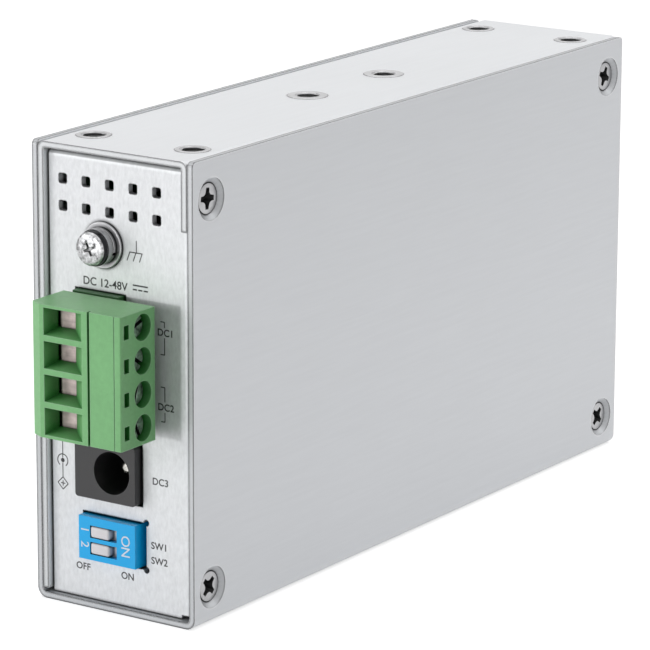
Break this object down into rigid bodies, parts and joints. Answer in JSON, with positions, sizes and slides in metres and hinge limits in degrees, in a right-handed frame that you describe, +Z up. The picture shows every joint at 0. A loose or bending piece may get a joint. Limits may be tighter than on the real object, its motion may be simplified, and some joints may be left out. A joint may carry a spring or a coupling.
{
  "type": "industrial router",
  "caption": "Slim folded-metal router case with a pluggable power terminal, a round power jack, a two-way switch, network ports and threaded mounting holes on top.",
  "frame": {"origin": "middle of the enclosure's underside", "axes": "+X across the case towards the side where the plug's clamp screws face, +Y along the case away from the power panel, +Z up to the side with the threaded mounting holes"},
  "size_m": [0.029, 0.1304, 0.0701],
  "materials": {
    "case_metal": "satin zinc-plated sheet steel",
    "screw_steel": "nickel-plated steel",
    "clamp_steel": "zinc-plated steel",
    "contact_metal": "tin-plated copper alloy",
    "standoff_brass": "bare brass",
    "terminal_green": "satin green moulding",
    "connector_black": "satin black moulding",
    "switch_blue": "smooth blue moulding",
    "switch_white": "smooth white moulding",
    "port_shell_metal": "bright tinned sheet",
    "can_aluminium": "satin aluminium",
    "board_laminate": "green solder mask on laminate",
    "pad_grey": "soft grey pad",
    "pipe_clear": "clear moulding",
    "lamp_chip": "small moulded lamp"
  },
  "bodies": {
    "enclosure": {"cover": "case_metal", "chassis": "case_metal", "front_panel": "case_metal", "rear_panel": "case_metal", "cover_screws_right": "screw_steel", "cover_screws_left": "screw_steel", "board_screws": "screw_steel", "ground_screw": "screw_steel", "ground_spring_washer": "screw_steel", "ground_flat_washer": "screw_steel", "ground_nut": "screw_steel", "cover_nuts": "screw_steel", "corner_mounting_nuts": "screw_steel", "middle_mounting_nuts": "screw_steel", "header_pins": "contact_metal", "plug_contacts": "contact_metal", "dip_pins": "contact_metal", "dc_jack_pin": "contact_metal", "dc_jack_spring": "contact_metal", "rj45_contacts": "contact_metal", "board_standoffs": "standoff_brass", "plug_housing": "terminal_green", "header_housing": "terminal_green", "dc_jack_body": "connector_black", "rj45_insert_1": "connector_black", "rj45_insert_2": "connector_black", "rj45_insert_3": "connector_black", "dip_base": "connector_black", "transformers": "connector_black", "main_processor": "connector_black", "memory_chips": "connector_black", "power_inductors": "connector_black", "dip_cover": "switch_blue", "rj45_shell_1": "port_shell_metal", "rj45_shell_2": "port_shell_metal", "rj45_shell_3": "port_shell_metal", "crystal": "port_shell_metal", "capacitors": "can_aluminium", "processor_heatsink": "can_aluminium", "main_board": "board_laminate", "thermal_pad": "pad_grey", "light_pipe": "pipe_clear", "status_leds": "lamp_chip"},
    "dip_slider_1_body": {"dip_slider_1": "switch_white"},
    "dip_slider_2_body": {"dip_slider_2": "switch_white"},
    "clamp_cage_1_body": {"clamp_cage_1": "clamp_steel"},
    "clamp_cage_2_body": {"clamp_cage_2": "clamp_steel"},
    "clamp_cage_3_body": {"clamp_cage_3": "clamp_steel"},
    "clamp_cage_4_body": {"clamp_cage_4": "clamp_steel"},
    "clamp_screw_1_body": {"clamp_screw_1": "clamp_steel"},
    "clamp_screw_2_body": {"clamp_screw_2": "clamp_steel"},
    "clamp_screw_3_body": {"clamp_screw_3": "clamp_steel"},
    "clamp_screw_4_body": {"clamp_screw_4": "clamp_steel"}
  },
  "joints": [
    {"name": "dip_slide_1", "type": "slide", "parent": "enclosure", "child": "dip_slider_1_body", "axis": [1, 0, 0], "range_m": [0, 0.0013]},
    {"name": "dip_slide_2", "type": "slide", "parent": "enclosure", "child": "dip_slider_2_body", "axis": [1, 0, 0], "range_m": [0, 0.0013]},
    {"name": "clamp_turn_1", "type": "hinge", "parent": "enclosure", "child": "clamp_screw_1_body", "pos_m": [0.005, -0.0645, 0.0459], "axis": [1, 0, 0], "range_deg": [0, 1600]},
    {"name": "clamp_slide_1", "type": "slide", "parent": "enclosure", "child": "clamp_cage_1_body", "axis": [-1, 0, 0], "range_m": [0, 0.002]},
    {"name": "clamp_turn_2", "type": "hinge", "parent": "enclosure", "child": "clamp_screw_2_body", "pos_m": [0.005, -0.0645, 0.0409], "axis": [1, 0, 0], "range_deg": [0, 1600]},
    {"name": "clamp_slide_2", "type": "slide", "parent": "enclosure", "child": "clamp_cage_2_body", "axis": [-1, 0, 0], "range_m": [0, 0.002]},
    {"name": "clamp_turn_3", "type": "hinge", "parent": "enclosure", "child": "clamp_screw_3_body", "pos_m": [0.005, -0.0645, 0.0359], "axis": [1, 0, 0], "range_deg": [0, 1600]},
    {"name": "clamp_slide_3", "type": "slide", "parent": "enclosure", "child": "clamp_cage_3_body", "axis": [-1, 0, 0], "range_m": [0, 0.002]},
    {"name": "clamp_turn_4", "type": "hinge", "parent": "enclosure", "child": "clamp_screw_4_body", "pos_m": [0.005, -0.0645, 0.0309], "axis": [1, 0, 0], "range_deg": [0, 1600]},
    {"name": "clamp_slide_4", "type": "slide", "parent": "enclosure", "child": "clamp_cage_4_body", "axis": [-1, 0, 0], "range_m": [0, 0.002]}
  ],
  "couplings": [
    {"joint": "clamp_turn_1", "follows": "clamp_slide_1", "rad_per_m": 13963},
    {"joint": "clamp_turn_2", "follows": "clamp_slide_2", "rad_per_m": 13963},
    {"joint": "clamp_turn_3", "follows": "clamp_slide_3", "rad_per_m": 13963},
    {"joint": "clamp_turn_4", "follows": "clamp_slide_4", "rad_per_m": 13963}
  ]
}
